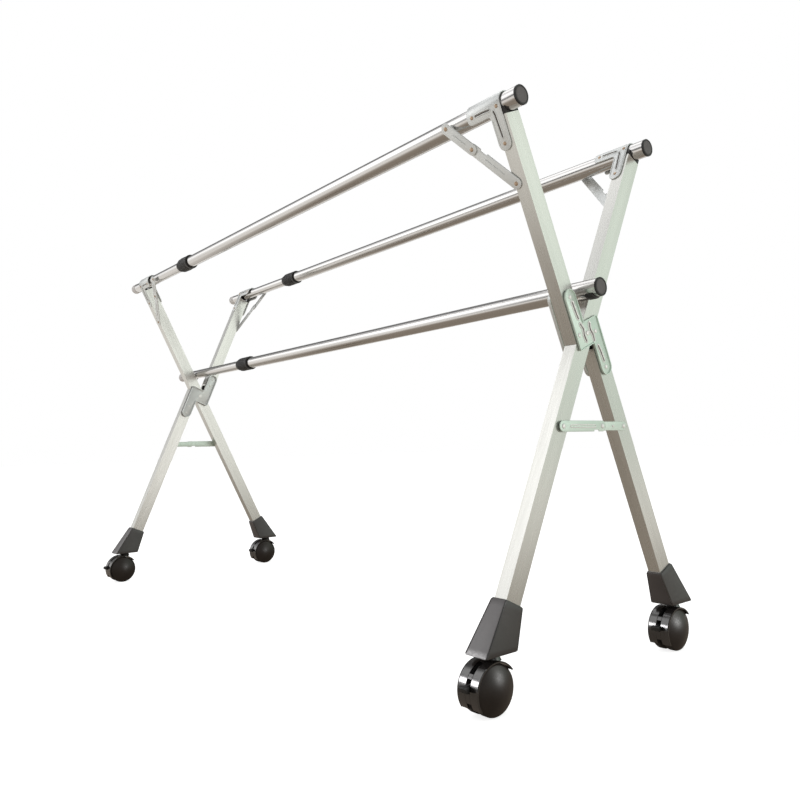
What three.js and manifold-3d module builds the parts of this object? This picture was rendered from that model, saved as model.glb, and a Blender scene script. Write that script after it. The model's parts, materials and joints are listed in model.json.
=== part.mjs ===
// Rolling clothes rack: two folding X-shaped end frames on casters, joined by three telescopic rails.
// Millimetres, +Z up, X along the rails, origin on the floor under the middle of the rack's outline.
// The two end frames are the same assembly; the far one is turned half round about the vertical.
import * as THREE from 'three';
import { ConvexGeometry } from 'three/addons/geometries/ConvexGeometry.js';
import { mergeVertices } from 'three/addons/utils/BufferGeometryUtils.js';
import Module from 'manifold-3d';

const wasm = await Module();
wasm.setup();

const DEG = Math.PI / 180;

// Overall layout
const nearX = 830; // plane of the near end frame
const farX = -770; // plane of the far end frame
const railZ = 960; // axis height of the two top rails
const railY = 180; // the top rails lie at -railY (front) and +railY (back)
const pivotZ = 592; // height of the crossing pivot
const middleRailZ = 668.5;
const footY = 252; // distance of each caster's stem from the middle plane
const bootBottomZ = 88;
const bootTopZ = 158;
const centreX = 10; // from the rack's own origin to the middle of its outline
const centreY = 14.5; // all four casters trail toward -Y
const gap = 0.3; // between pieces that touch
const round = 24; // sides of a round piece
const small = 12; // sides of a small round piece

// Rails
const outerR = 16;
const outerWall = 0.9;
const innerR = 14;
const innerWall = 0.9;
const innerLength = 1300;
const topRailNearX = 866;
const topRailFarX = -860;
const middleRailNearX = 874;
const middleRailFarX = -898;
const topSleeveX = -440;
const middleSleeveX = -420;
const sleeveLength = 72;
const seatOut = 21; // seats under the middle rail start this far outside the end frames
const seatLength = 16;
const seatThick = 3;

// Legs: rectangular tube, one leg straight, the other in two halves beside it
const legWidth = 34;
const legDepth = 25;
const legWall = 1.2;
const upperOffset = 19; // centre line of each half from the pivot
const lowerOffset = 23;
const closeTravel = 30 * DEG; // how far the scissor closes
const legTopGap = outerR + 1.5; // leg end below the rail axis
const bootSocket = 28; // length of leg inside its boot
const straightTilt = Math.atan2(railY, railZ - pivotZ);
const splitTilt = solveSplitTilt();

// Crossing plates
const plateThick = 2;
const outerPlateX = legDepth / 2 + 0.7;
const innerPlateX = legDepth / 2 + 2.2;
const innerRim = 7; // both plates are shallow pans, their rims turned away from the legs
const outerRim = 2;
const panWall = 1.6;
const plateArm = 15; // half width and end radius of an arm
const plateArmEnd = 71; // centre of the arm's round end
const plateSquare = 22;
const pinR = 4;
const headR = 5;
const bossZ = 48; // spacers between the inner plate and the two halves

// Saddle brackets that hold a leg to its rail
const saddleInner = legWidth / 2 + 0.4;
const saddleThick = 2;
const saddleBar = { from: -68, to: 7, low: -13, corner: 9 };
const saddleStem = { from: -19, to: 7, end: -60 };

// Diagonal stays, in the plane of the bracket's outer face
const stayRail = new THREE.Vector2(-118, 2);
const stayLeg = new THREE.Vector2(-8, -128);
const stayShare = 0.385; // share of the length that the short link takes
const linkThick = 2;
const diagonalHalf = 10;

// Folding stays across the legs below the crossing
const lowerStayZ = 429;
const lowerShort = 67;
const lowerLongHalf = 9.5;
const lowerShortHalf = 8;

// Casters, each with its stem on the local Z axis and its wheels behind, toward -Y of the rack
const wheelR = 39; // to the middle of each flat; a flat rests on the floor
const trail = 10;
const wheelInnerX = 4.8;
const hoodR = 42.5;
const hoodInnerR = 40.2;
const hoodHalfWidth = 21;
const webHalf = 4;
const axleR = 4;
const stemR = 5;
const stemTopZ = 122;
const leverHinge = new THREE.Vector2(-31, 11); // y and z from the axle

const materials = {
  stainless: material(0xc9c7c4, 0.22, 1.0),
  silver: material(0xb9bcb2, 0.42, 0.55),
  plate: material(0xa9b6a6, 0.4, 0.6),
  blackPlastic: material(0x3d3a3b, 0.55, 0.0),
  capPlastic: material(0x4a4546, 0.5, 0.0),
  glossPlastic: material(0x1c1a1a, 0.18, 0.0),
};

function material(color, roughness, metalness) {
  return new THREE.MeshStandardMaterial({ color, roughness, metalness });
}

// The split leg's upper centre line runs upperOffset beside the pivot and still meets its rail.
function solveSplitTilt() {
  const rise = railZ - pivotZ;
  let tilt = straightTilt;
  for (let i = 0; i < 40; i++) {
    tilt = Math.atan2(railY - upperOffset / Math.cos(tilt), rise);
  }
  return tilt;
}

// ---- solid helpers ----

function toManifold(geometry) {
  const plain = geometry.clone();
  plain.deleteAttribute('normal');
  plain.deleteAttribute('uv');
  const merged = mergeVertices(plain, 1e-4);
  const mesh = new wasm.Mesh({
    numProp: 3,
    vertProperties: new Float32Array(merged.attributes.position.array),
    triVerts: new Uint32Array(merged.index.array),
  });
  mesh.merge();
  return new wasm.Manifold(mesh);
}

function toGeometry(manifold) {
  const mesh = manifold.getMesh();
  const geometry = new THREE.BufferGeometry();
  geometry.setAttribute('position', new THREE.BufferAttribute(mesh.vertProperties.slice(), 3));
  geometry.setIndex(new THREE.BufferAttribute(mesh.triVerts.slice(), 1));
  geometry.computeVertexNormals();
  return geometry;
}

function named(name, geometry, look) {
  const mesh = new THREE.Mesh(geometry, look);
  mesh.name = name;
  return mesh;
}

function boxAt(sizeX, sizeY, sizeZ, x, y, z) {
  return toManifold(new THREE.BoxGeometry(sizeX, sizeY, sizeZ).translate(x, y, z));
}

// A cylinder along X from one x to another, its axis through (y, z)
function rodX(radius, fromX, toX, y = 0, z = 0, sides = round) {
  const rod = new THREE.CylinderGeometry(radius, radius, toX - fromX, sides);
  rod.rotateZ(-Math.PI / 2);
  rod.translate((fromX + toX) / 2, y, z);
  return toManifold(rod);
}

function rodY(radius, fromY, toY, x, z, sides = small) {
  const rod = new THREE.CylinderGeometry(radius, radius, toY - fromY, sides);
  rod.translate(x, (fromY + toY) / 2, z);
  return toManifold(rod);
}

function rodZ(radius, fromZ, toZ, x = 0, y = 0, sides = round) {
  const rod = new THREE.CylinderGeometry(radius, radius, toZ - fromZ, sides);
  rod.rotateX(Math.PI / 2);
  rod.translate(x, y, (fromZ + toZ) / 2);
  return toManifold(rod);
}

// A closed profile of [radius, x] points turned about the X axis
function turnedX(points, sides = round) {
  const profile = points.map(([radius, x]) => new THREE.Vector2(radius, x));
  const lathe = new THREE.LatheGeometry(profile, sides);
  lathe.rotateZ(-Math.PI / 2);
  return lathe;
}

// An outline in the Y-Z plane made into a plate between two x values
function plateX(shape, fromX, toX, curveSegments = 6) {
  const plate = new THREE.ExtrudeGeometry(shape, { depth: toX - fromX, bevelEnabled: false, curveSegments });
  plate.applyMatrix4(new THREE.Matrix4().set(0, 0, 1, fromX, 1, 0, 0, 0, 0, 1, 0, 0, 0, 0, 0, 1));
  return toManifold(plate);
}

// An outline in the X-Z plane made into a plate between two y values
function plateY(shape, fromY, toY, curveSegments = 6) {
  const plate = new THREE.ExtrudeGeometry(shape, { depth: toY - fromY, bevelEnabled: false, curveSegments });
  plate.rotateX(Math.PI / 2);
  plate.translate(0, toY, 0);
  return toManifold(plate);
}

// ---- rails ----

function tube(radius, wall, fromX, toX) {
  const inside = radius - wall;
  return turnedX([[inside, fromX], [radius, fromX], [radius, toX], [inside, toX], [inside, fromX]]);
}

// Plug with a round flange over the tube's end
function endCap(radius, wall, endX, outward) {
  const bore = radius - wall - gap;
  const profile = [
    [0, endX - outward * 16],
    [bore, endX - outward * 16],
    [bore, endX + outward * gap],
    [radius + 0.5, endX + outward * gap],
    [radius + 0.5, endX + outward * 3],
    [radius - 2.5, endX + outward * 4],
    [0, endX + outward * 4],
  ];
  return turnedX(outward > 0 ? profile : profile.reverse());
}

// Twist-lock collar: the wide half runs on the outer tube, the narrow half grips the inner one
function lockSleeve(centreX) {
  const wideEnd = centreX + sleeveLength / 2;
  const narrowEnd = centreX - sleeveLength / 2;
  const profile = [
    [outerR + gap, wideEnd],
    [outerR + gap, centreX],
    [innerR + gap, centreX - 2],
    [innerR + gap, narrowEnd],
    [innerR + 3, narrowEnd],
    [innerR + 5.5, narrowEnd + 14],
    [outerR + 4, narrowEnd + 17],
    [outerR + 4.5, wideEnd - 12],
    [outerR + 3.2, wideEnd],
    [outerR + gap, wideEnd],
  ];
  return turnedX(profile);
}

// Half-round seat clipped under the middle rail, against the outside of the end frame
function railSeat(name, radius, fromX) {
  const bore = radius + gap;
  const rim = bore + seatThick;
  const toX = fromX + seatLength;
  const profile = [[bore, fromX], [rim, fromX], [rim, toX], [bore, toX], [bore, fromX]];
  const above = boxAt(2 * seatLength, 4 * rim, 4 * rim, (fromX + toX) / 2, 0, 2 * rim - 11);
  const seat = named(name, toGeometry(toManifold(turnedX(profile)).subtract(above)), materials.blackPlastic);
  seat.position.set(0, 0, middleRailZ);
  return seat;
}

function rail(name, y, z, nearEnd, farEnd, sleeveX) {
  const group = new THREE.Group();
  group.position.set(0, y, z);
  const outerTube = tube(outerR, outerWall, sleeveX + gap, nearEnd);
  const innerTube = tube(innerR, innerWall, farEnd, farEnd + innerLength);
  group.add(named(`${name}_rail_outer_tube`, outerTube, materials.stainless));
  group.add(named(`${name}_rail_inner_tube`, innerTube, materials.stainless));
  group.add(named(`${name}_rail_lock_sleeve`, lockSleeve(sleeveX), materials.blackPlastic));
  group.add(named(`${name}_rail_end_cap`, endCap(outerR, outerWall, nearEnd, 1), materials.capPlastic));
  return group;
}

// ---- end frame, origin at the crossing pivot, +X outward ----

// Rectangular tube along local Z, its centre line at y
function legTube(y, fromZ, toZ) {
  const length = toZ - fromZ;
  const middleZ = (fromZ + toZ) / 2;
  const outside = boxAt(legDepth, legWidth, length, 0, y, middleZ);
  const hollow = boxAt(legDepth - 2 * legWall, legWidth - 2 * legWall, length + 2, 0, y, middleZ);
  return outside.subtract(hollow);
}

// The space that the straight leg takes, seen from the split leg, at a closing angle
function straightLegSpace(closing) {
  const wide = legWidth + 2 * 0.5;
  const angle = -(straightTilt + splitTilt - closing);
  const block = new THREE.BoxGeometry(legDepth + 4, wide, 400);
  block.rotateX(angle);
  return toManifold(block);
}

// Both halves end in a long mitre, so that the straight leg can swing between them
function splitHalf(upper) {
  const offset = upper ? upperOffset : lowerOffset;
  const railAlong = railY * Math.sin(splitTilt) + (railZ - pivotZ) * Math.cos(splitTilt);
  const bootAlong = (pivotZ - bootTopZ + lowerOffset * Math.sin(splitTilt)) / Math.cos(splitTilt);
  const reach = upper ? railAlong - legTopGap : bootAlong + bootSocket;
  let half = legTube(-offset, -8, reach);
  half = half.subtract(straightLegSpace(0));
  half = half.subtract(straightLegSpace(closeTravel));
  const geometry = toGeometry(half);
  if (!upper) {
    geometry.rotateX(Math.PI);
  }
  return geometry;
}

function straightLeg() {
  const railAlong = Math.hypot(railY, railZ - pivotZ);
  const bootAlong = (pivotZ - bootTopZ) / Math.cos(straightTilt);
  const leg = legTube(0, -(bootAlong + bootSocket), railAlong - legTopGap);
  return toGeometry(leg.subtract(rodX(pinR + gap, -legDepth, legDepth, 0, 0, small)));
}

// shrink moves the whole outline inward
function crossOutline(shrink = 0) {
  const outline = new THREE.Shape();
  const arm = plateArm - shrink;
  const square = plateSquare - shrink;
  outline.moveTo(-upperOffset - arm, -square);
  outline.lineTo(lowerOffset - arm, -square);
  outline.lineTo(lowerOffset - arm, -plateArmEnd);
  outline.absarc(lowerOffset, -plateArmEnd, arm, Math.PI, 2 * Math.PI, false);
  outline.lineTo(lowerOffset + arm, square);
  outline.lineTo(arm - upperOffset, square);
  outline.lineTo(arm - upperOffset, plateArmEnd);
  outline.absarc(-upperOffset, plateArmEnd, arm, 0, Math.PI, false);
  outline.closePath();
  return outline;
}

function crossPlateOuter() {
  const faceX = outerPlateX + plateThick;
  const rimX = faceX + outerRim;
  let plate = plateX(crossOutline(), outerPlateX, rimX);
  plate = plate.subtract(plateX(crossOutline(panWall), faceX, rimX + 1));
  return toGeometry(plate.subtract(rodX(pinR + gap, 0, 2 * outerPlateX, 0, 0, small)));
}

// The pivot pin is riveted into the inner plate and headed over the outer one
function crossPlateInner() {
  const headX = outerPlateX + plateThick + gap;
  const backX = -innerPlateX - innerRim;
  let plate = plateX(crossOutline(), backX, -innerPlateX);
  plate = plate.subtract(plateX(crossOutline(panWall), backX - 1, -innerPlateX - plateThick));
  plate = plate.add(rodX(pinR, -innerPlateX - 1, headX + 1, 0, 0, small));
  plate = plate.add(rodX(headR, headX, headX + 1.8, 0, 0, small));
  plate = plate.add(rodX(6, -innerPlateX - 1, -legDepth / 2 - gap, -upperOffset, bossZ, small));
  plate = plate.add(rodX(6, -innerPlateX - 1, -legDepth / 2 - gap, lowerOffset, -bossZ, small));
  return toGeometry(plate);
}

// Channel over the rail, cut to a T: a bar along the rail and a stem down each side of the leg
function saddleBracket() {
  const outer = saddleInner + saddleThick;
  const length = saddleBar.to - saddleBar.from + 10;
  const depth = 90;
  const centreX = (saddleBar.from + saddleBar.to) / 2;
  const hump = rodX(outer, centreX - length / 2, centreX + length / 2);
  const skirt = boxAt(length, 2 * outer, depth, centreX, 0, -depth / 2);
  const hollowHump = rodX(saddleInner, centreX - length, centreX + length);
  const hollowSkirt = boxAt(2 * length, 2 * saddleInner, depth + 2, centreX, 0, -depth / 2 - 1);
  const channel = hump.add(skirt).subtract(hollowHump.add(hollowSkirt));
  const outline = new THREE.Shape();
  const { from, to, low, corner } = saddleBar;
  const stemR = (saddleStem.to - saddleStem.from) / 2;
  outline.moveTo(from, outer + 5);
  outline.lineTo(from, low + corner);
  outline.absarc(from + corner, low + corner, corner, Math.PI, 1.5 * Math.PI, false);
  outline.lineTo(saddleStem.from, low);
  outline.lineTo(saddleStem.from, saddleStem.end);
  outline.absarc(saddleStem.from + stemR, saddleStem.end, stemR, Math.PI, 2 * Math.PI, false);
  outline.lineTo(to, outer + 5);
  outline.closePath();
  return toGeometry(channel.intersect(plateY(outline, -outer - 1, outer + 1)));
}

// A strip with round ends between two points of the X-Z plane, from one y to another
function stripY(from, to, half, fromY, toY) {
  const along = new THREE.Vector2().subVectors(to, from);
  const angle = along.angle();
  const outline = new THREE.Shape();
  outline.absarc(from.x, from.y, half, angle + Math.PI / 2, angle + 1.5 * Math.PI, false);
  outline.absarc(to.x, to.y, half, angle - Math.PI / 2, angle + Math.PI / 2, false);
  outline.closePath();
  return plateY(outline, fromY, toY);
}

// Diagonal stay on the outer side of a leg; side is -1 for the front leg and 1 for the back one.
// The long link lies against the leg, and the short one lies on it and reaches the rail.
function diagonalStay(side) {
  const middle = stayRail.clone().lerp(stayLeg, stayShare);
  const low = legWidth / 2 + 0.5;
  const top = low + linkThick + gap;
  const span = (a, b) => (side > 0 ? [a, b] : [-b, -a]);
  const rivetR = 3.2;
  let short = stripY(stayRail, middle, diagonalHalf, ...span(top, top + linkThick));
  short = short.add(rodY(rivetR, ...span(outerR - 0.4, top + linkThick + 1.4), stayRail.x, stayRail.y));
  short = short.add(rodY(rivetR, ...span(low, top + linkThick + 1.4), middle.x, middle.y));
  let long = stripY(middle, stayLeg, diagonalHalf, ...span(low, low + linkThick));
  long = long.subtract(rodY(rivetR + gap, ...span(low - 1, top), middle.x, middle.y));
  long = long.add(rodY(rivetR, ...span(low, low + linkThick + 1.4), stayLeg.x, stayLeg.y));
  short = short.subtract(rodX(outerR + gap, -200, 200, 0, 0));
  return { short: toGeometry(short), long: toGeometry(long) };
}

// Both links of the folding stay lie in front of the legs, the long link over the short one
function lowerStay() {
  const drop = pivotZ - lowerStayZ;
  const straightY = -drop * Math.tan(straightTilt);
  const splitY = drop * Math.tan(splitTilt) + lowerOffset / Math.cos(splitTilt);
  const middleY = splitY - lowerShort;
  const shortX = legDepth / 2 + 0.7;
  const longX = shortX + linkThick + gap;
  const rivetR = 3.2;
  let short = stripX(middleY, splitY, -drop, lowerShortHalf, shortX, shortX + linkThick);
  short = short.add(rodX(rivetR, shortX, longX + linkThick + 1.4, middleY, -drop, small));
  short = short.add(rodX(rivetR, shortX, shortX + linkThick + 1.4, splitY, -drop, small));
  let long = stripX(straightY, middleY, -drop, lowerLongHalf, longX, longX + linkThick);
  long = long.subtract(rodX(rivetR + gap, shortX, longX + 5, middleY, -drop, small));
  long = long.add(rodX(rivetR, longX, longX + linkThick + 1.4, straightY, -drop, small));
  return { short: toGeometry(short), long: toGeometry(long) };
}

function stripX(fromY, toY, z, half, fromX, toX) {
  const outline = new THREE.Shape();
  outline.absarc(fromY, z, half, Math.PI / 2, 1.5 * Math.PI, false);
  outline.absarc(toY, z, half, -Math.PI / 2, Math.PI / 2, false);
  outline.closePath();
  return plateX(outline, fromX, toX);
}

// Boot: square to the leg at its top, level at its bottom over the caster, with a socket for each.
// side is -1 at the foot of the straight leg, which leans to the front, and 1 at the split leg's.
function boot(side) {
  const straight = side < 0;
  const tilt = straight ? -straightTilt : splitTilt;
  const offset = straight ? 0 : lowerOffset;
  const legFrame = new THREE.Matrix4().makeRotationX(tilt);
  const topAlong = straight
    ? -(pivotZ - bootTopZ) / Math.cos(straightTilt)
    : -(pivotZ - bootTopZ + lowerOffset * Math.sin(splitTilt)) / Math.cos(splitTilt);
  const points = [];
  for (const sx of [-1, 1]) {
    for (const sy of [-1, 1]) {
      const top = new THREE.Vector3(sx * (legDepth / 2 + 3), offset + sy * (legWidth / 2 + 3.5), topAlong);
      points.push(top.applyMatrix4(legFrame));
      points.push(new THREE.Vector3(sx * 23, side * footY + sy * 34, bootBottomZ + gap - pivotZ));
    }
  }
  const body = toManifold(new ConvexGeometry(points));
  const socketSize = bootSocket + 1 + 40;
  const socket = new THREE.BoxGeometry(legDepth + 2 * gap, legWidth + 2 * gap, socketSize);
  socket.translate(0, offset, topAlong + 40 - socketSize / 2);
  socket.applyMatrix4(legFrame);
  const stemBore = rodZ(stemR + gap, bootBottomZ - pivotZ - 1, stemTopZ + 2 - pivotZ, 0, side * footY, small);
  return toGeometry(body.subtract(toManifold(socket)).subtract(stemBore));
}

// ---- caster ----

function casterHood() {
  const y = -trail;
  const cut = hoodHalfWidth + 1;
  const lower = new THREE.BoxGeometry(4 * hoodR, 4 * hoodR, 2 * hoodR);
  lower.translate(0, 0, -hoodR);
  lower.rotateX(30 * DEG);
  lower.translate(0, y, wheelR - 3);
  let hood = rodX(hoodR, -hoodHalfWidth, hoodHalfWidth, y, wheelR);
  hood = hood.subtract(toManifold(lower));
  hood = hood.add(rodZ(12, wheelR + 30, bootBottomZ - 0.4));
  hood = hood.subtract(rodX(hoodInnerR, webHalf, cut, y, wheelR));
  hood = hood.subtract(rodX(hoodInnerR, -cut, -webHalf, y, wheelR));
  hood = hood.add(rodX(30, -webHalf, webHalf, y, wheelR));
  hood = hood.add(rodX(axleR, -20, 20, y, wheelR, small));
  hood = hood.add(rodZ(stemR, wheelR + 40, stemTopZ, 0, 0, small));
  const slotCentre = leverHinge.x - 10;
  hood = hood.subtract(boxAt(2 * webHalf + 1, 30, 19, 0, y + slotCentre, wheelR + leverHinge.y - 2));
  return toGeometry(hood);
}

// Domed wheel, its bore open toward the middle of the caster
function casterWheel(side) {
  const inner = wheelInnerX;
  const tread = wheelR / Math.cos(Math.PI / round);
  const profile = [
    [axleR + gap, inner],
    [tread - 1, inner],
    [tread, inner + 1],
    [tread, 17],
    [37.6, 17.9],
    [28, 22.5],
    [15, 26.6],
    [0, 28.3],
    [0, 20.4],
    [axleR + gap, 20.4],
    [axleR + gap, inner],
  ];
  const wheel = turnedX(profile);
  wheel.rotateX(Math.PI / round);
  if (side < 0) {
    wheel.rotateY(Math.PI);
  }
  wheel.translate(0, -trail, wheelR);
  return toGeometry(toManifold(wheel));
}

// Brake pedal: an arm in the hood's slot with a wider pad behind the wheels
function brakeLever() {
  const hingeY = leverHinge.x - trail;
  const hingeZ = leverHinge.y + wheelR;
  let lever = rodX(3.2, -3.4, 3.4, hingeY, hingeZ, small);
  lever = lever.add(boxAt(6.8, 16, 4, 0, hingeY - 8, hingeZ));
  lever = lever.add(boxAt(17, 7.5, 9, 0, hingeY - 18.25, hingeZ - 2.5));
  return toGeometry(lever);
}

// turn cancels the end frame's own, so that every caster trails the same way
function caster(name, side, turn) {
  const group = new THREE.Group();
  group.position.set(0, side * footY, -pivotZ);
  group.rotation.z = turn;
  group.add(named(`${name}_caster_hood`, casterHood(), materials.glossPlastic));
  group.add(named(`${name}_caster_wheel_a`, casterWheel(1), materials.glossPlastic));
  group.add(named(`${name}_caster_wheel_b`, casterWheel(-1), materials.glossPlastic));
  group.add(named(`${name}_caster_brake_lever`, brakeLever(), materials.blackPlastic));
  return group;
}

// ---- assembly ----

// Places a piece made in rail-centred leg coordinates at the top of a leg
function atLegTop(mesh, side) {
  mesh.position.set(0, side * railY, railZ - pivotZ);
  mesh.rotation.x = side < 0 ? splitTilt : -straightTilt;
  return mesh;
}

// end is the frame's name; split and straight are the sides (front or back) that those legs' tops lean to
function endFrame(end, split, straight, turn) {
  const frame = new THREE.Group();
  const splitLeg = new THREE.Group();
  splitLeg.rotation.x = splitTilt;
  splitLeg.add(named(`${end}_split_leg_upper`, splitHalf(true), materials.silver));
  splitLeg.add(named(`${end}_split_leg_lower`, splitHalf(false), materials.silver));
  splitLeg.add(named(`${end}_cross_plate_outer`, crossPlateOuter(), materials.plate));
  splitLeg.add(named(`${end}_cross_plate_inner`, crossPlateInner(), materials.plate));
  frame.add(splitLeg);

  const straightMesh = named(`${end}_straight_leg`, straightLeg(), materials.silver);
  straightMesh.rotation.x = -straightTilt;
  frame.add(straightMesh);

  for (const [side, place] of [[-1, split], [1, straight]]) {
    const stay = diagonalStay(side);
    frame.add(atLegTop(named(`${end}_${place}_saddle_bracket`, saddleBracket(), materials.plate), side));
    frame.add(atLegTop(named(`${end}_${place}_stay_short_link`, stay.short, materials.plate), side));
    frame.add(atLegTop(named(`${end}_${place}_stay_long_link`, stay.long, materials.plate), side));
  }

  const lower = lowerStay();
  frame.add(named(`${end}_lower_stay_short_link`, lower.short, materials.plate));
  frame.add(named(`${end}_lower_stay_long_link`, lower.long, materials.plate));

  // The straight leg's foot is on the split top's side, and the other way round
  for (const [side, place] of [[-1, split], [1, straight]]) {
    frame.add(named(`${end}_${place}_boot`, boot(side), materials.blackPlastic));
    frame.add(caster(`${end}_${place}`, side, -turn));
  }
  frame.rotation.z = turn;
  return frame;
}

const rack = new THREE.Group();
rack.position.set(centreX, centreY, 0);

const near = endFrame('near', 'front', 'back', 0);
near.position.set(nearX, 0, pivotZ);
rack.add(near);

const far = endFrame('far', 'back', 'front', Math.PI);
far.position.set(farX, 0, pivotZ);
rack.add(far);

rack.add(rail('front', -railY, railZ, topRailNearX, topRailFarX, topSleeveX));
rack.add(rail('back', railY, railZ, topRailNearX, topRailFarX, topSleeveX));
rack.add(rail('middle', 0, middleRailZ, middleRailNearX, middleRailFarX, middleSleeveX));
rack.add(railSeat('near_middle_rail_seat', outerR, nearX + seatOut));
rack.add(railSeat('far_middle_rail_seat', innerR, farX - seatOut - seatLength));

const group = new THREE.Group();
group.add(rack);

export default group;
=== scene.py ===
"""Looks for the rolling clothes rack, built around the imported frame. Lengths here are in millimetres."""
import json
import math

import bmesh
import bpy
from mathutils import Matrix, Vector

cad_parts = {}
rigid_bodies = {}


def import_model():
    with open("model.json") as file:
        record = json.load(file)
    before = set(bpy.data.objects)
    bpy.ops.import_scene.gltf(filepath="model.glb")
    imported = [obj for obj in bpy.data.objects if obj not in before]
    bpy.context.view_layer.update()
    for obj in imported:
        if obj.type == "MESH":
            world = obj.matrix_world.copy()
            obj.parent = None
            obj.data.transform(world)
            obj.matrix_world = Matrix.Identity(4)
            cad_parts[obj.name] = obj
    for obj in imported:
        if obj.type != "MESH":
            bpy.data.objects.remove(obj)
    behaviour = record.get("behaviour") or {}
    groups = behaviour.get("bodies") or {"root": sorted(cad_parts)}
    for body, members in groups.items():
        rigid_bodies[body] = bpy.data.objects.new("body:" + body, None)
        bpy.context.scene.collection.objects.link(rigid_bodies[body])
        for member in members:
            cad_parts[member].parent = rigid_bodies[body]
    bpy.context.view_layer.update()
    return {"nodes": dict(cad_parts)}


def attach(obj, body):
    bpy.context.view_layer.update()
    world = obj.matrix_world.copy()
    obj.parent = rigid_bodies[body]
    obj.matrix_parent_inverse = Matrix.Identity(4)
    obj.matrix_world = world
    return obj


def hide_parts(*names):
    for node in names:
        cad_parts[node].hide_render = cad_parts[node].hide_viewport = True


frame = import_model()

MM = 0.001

# The same driving sizes as the frame
CENTRE_X = 10.0
CENTRE_Y = 14.5
NEAR_X = 830.0
FAR_X = -770.0
RAIL_Z = 960.0
RAIL_Y = 180.0
PIVOT_Z = 592.0
MIDDLE_Z = 668.5
FOOT_Y = 252.0
UPPER_OFFSET = 19.0
LOWER_OFFSET = 23.0
RISE = RAIL_Z - PIVOT_Z
STRAIGHT_TILT = math.atan2(RAIL_Y, RISE)
LEG_WIDTH = 34.0
LEG_DEPTH = 25.0
OUTER_R = 16.0
INNER_R = 14.0
BOOT_BOTTOM = 88.0
BOOT_TOP = 158.0
WHEEL_R = 39.0
TRAIL = 10.0
WALL = 0.9
INNER_TUBE = 1300.0
GAP = 0.3
TOP_RAIL_SPAN = (866.0, -860.0, -440.0)
MIDDLE_RAIL_SPAN = (874.0, -898.0, -420.0)
SEAT_OUT = 21.0
SEAT_LENGTH = 16.0

# Pressed sheet parts
SHEET = 2.0
STAY_STEP = 2.3
OUTER_PLATE_X = LEG_DEPTH / 2 + 0.7
INNER_PLATE_X = -LEG_DEPTH / 2 - 2.2
INNER_PLATE_DEPTH = 7.0
SADDLE_R = 18.4
SADDLE_FACE = 19.4
SLOT_HALF = 1.2
SLOT_PROUD = 0.25
LOWER_STAY_Z = 429.0

# Boots and wheel covers
BOOT_HALF = (23.0, 34.0)
BOOT_TOP_HALF = (LEG_DEPTH / 2 + 3, LEG_WIDTH / 2 + 3.5)
BOOT_CORNER = 3.0
CORNER_INSET = 0.7
COVER_CROWN = 28.15
COVER_CURVE = 0.0073

# Part of the noise's range that the colours and the roughness are spread over
NOISE_LOW = 0.3
NOISE_HIGH = 0.7

# A bead's rounded tip: how far out each ring lies and its width, as shares of the radius
BEAD_TIP = ((0.92, 0.35), (0.6, 0.8))


def split_tilt():
    tilt = STRAIGHT_TILT
    for _ in range(40):
        tilt = math.atan2(RAIL_Y - UPPER_OFFSET / math.cos(tilt), RISE)
    return tilt


SPLIT_TILT = split_tilt()

# End frames: which body each local side belongs to, and the side's name in the frame
ENDS = {
    "near": {"x": NEAR_X, "turn": 0.0, "split": "near_front_frame", "straight": "near_back_frame",
             "names": {-1: "front", 1: "back"}},
    "far": {"x": FAR_X, "turn": math.pi, "split": "far_back_frame", "straight": "far_front_frame",
            "names": {-1: "back", 1: "front"}},
}


# ---- places ----

def end_place(end):
    """Crossing pivot of an end frame, X pointing outward."""
    facts = ENDS[end]
    pivot = Matrix.Translation((facts["x"] + CENTRE_X, CENTRE_Y, PIVOT_Z))
    return pivot @ Matrix.Rotation(facts["turn"], 4, "Z")


def split_place(end):
    return end_place(end) @ Matrix.Rotation(SPLIT_TILT, 4, "X")


def leg_top_place(end, side):
    """Rail axis above a leg: Z runs up along the leg."""
    tilt = SPLIT_TILT if side < 0 else -STRAIGHT_TILT
    return end_place(end) @ Matrix.Translation((0, side * RAIL_Y, RISE)) @ Matrix.Rotation(tilt, 4, "X")


def caster_place(end, side):
    turn = Matrix.Rotation(-ENDS[end]["turn"], 4, "Z")
    return end_place(end) @ Matrix.Translation((0, side * FOOT_Y, -PIVOT_Z)) @ turn


# ---- mesh helpers ----

def new_object(name, bm, place, material, sharp=34):
    bmesh.ops.recalc_face_normals(bm, faces=bm.faces)
    mesh = bpy.data.meshes.new(name)
    bm.to_mesh(mesh)
    bm.free()
    mesh.transform(Matrix.Scale(MM, 4) @ place)
    mesh.materials.append(material)
    obj = bpy.data.objects.new(name, mesh)
    bpy.context.scene.collection.objects.link(obj)
    shade(obj, sharp)
    return obj


def shade(obj, sharp):
    obj.data.shade_smooth()
    obj.data.set_sharp_from_angle(angle=math.radians(sharp))


def bake(obj, sharp=34):
    """Puts the modifiers' result into the mesh."""
    graph = bpy.context.evaluated_depsgraph_get()
    mesh = bpy.data.meshes.new_from_object(obj.evaluated_get(graph))
    obj.modifiers.clear()
    obj.data = mesh
    shade(obj, sharp)


def round_edges(obj, width, segments=2, angle=40, sharp=34):
    mod = obj.modifiers.new("round", "BEVEL")
    mod.width = width * MM
    mod.segments = segments
    mod.limit_method = "ANGLE"
    mod.angle_limit = math.radians(angle)
    mod.use_clamp_overlap = True
    bake(obj, sharp)


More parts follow.
